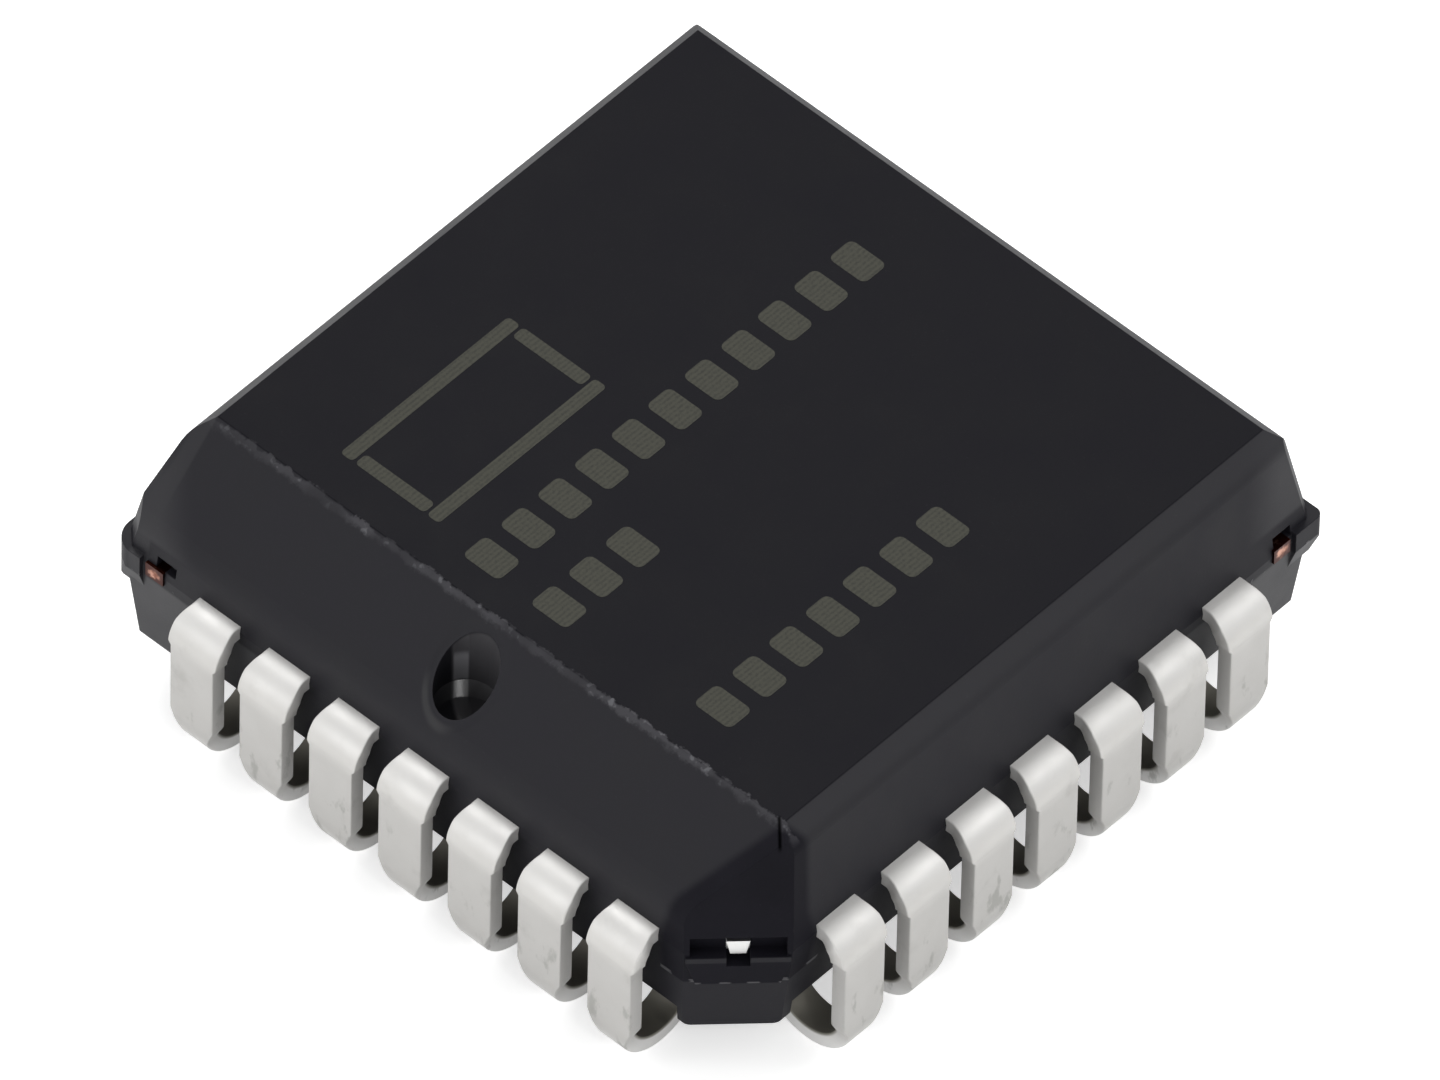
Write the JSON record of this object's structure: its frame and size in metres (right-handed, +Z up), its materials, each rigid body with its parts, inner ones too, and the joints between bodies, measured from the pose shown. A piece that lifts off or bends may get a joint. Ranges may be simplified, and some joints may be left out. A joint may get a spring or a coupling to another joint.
{
  "type": "microcontroller chip in a plastic leaded chip carrier",
  "caption": "Square moulded chip carrier with J-formed leads along all four sides, a bevelled pin one side with a dimple and one cut corner.",
  "frame": {"origin": "under the middle of the square body, on the plane where the leads stand", "axes": "+Z up through the top face; -X towards the bevelled side with the pin one dimple; the cut corner lies at -X -Y"},
  "size_m": [0.0124, 0.0124, 0.0044],
  "materials": {
    "moulding_compound": "matt, fine-grained",
    "tinned_lead": "satin tin plating",
    "bare_copper": "satin copper alloy",
    "silver_adhesive": "matt",
    "silicon": "polished",
    "gold_wire": "bright"
  },
  "bodies": {
    "root": {"moulded_body": "moulding_compound", "die_paddle": "bare_copper", "die_attach": "silver_adhesive", "silicon_die": "silicon", "bond_wires": "gold_wire", "lead_01": "tinned_lead", "lead_02": "tinned_lead", "lead_03": "tinned_lead", "lead_04": "tinned_lead", "lead_05": "tinned_lead", "lead_06": "tinned_lead", "lead_07": "tinned_lead", "lead_08": "tinned_lead", "lead_09": "tinned_lead", "lead_10": "tinned_lead", "lead_11": "tinned_lead", "lead_12": "tinned_lead", "lead_13": "tinned_lead", "lead_14": "tinned_lead", "lead_15": "tinned_lead", "lead_16": "tinned_lead", "lead_17": "tinned_lead", "lead_18": "tinned_lead", "lead_19": "tinned_lead", "lead_20": "tinned_lead", "lead_21": "tinned_lead", "lead_22": "tinned_lead", "lead_23": "tinned_lead", "lead_24": "tinned_lead", "lead_25": "tinned_lead", "lead_26": "tinned_lead", "lead_27": "tinned_lead", "lead_28": "tinned_lead"}
  },
  "joints": []
}
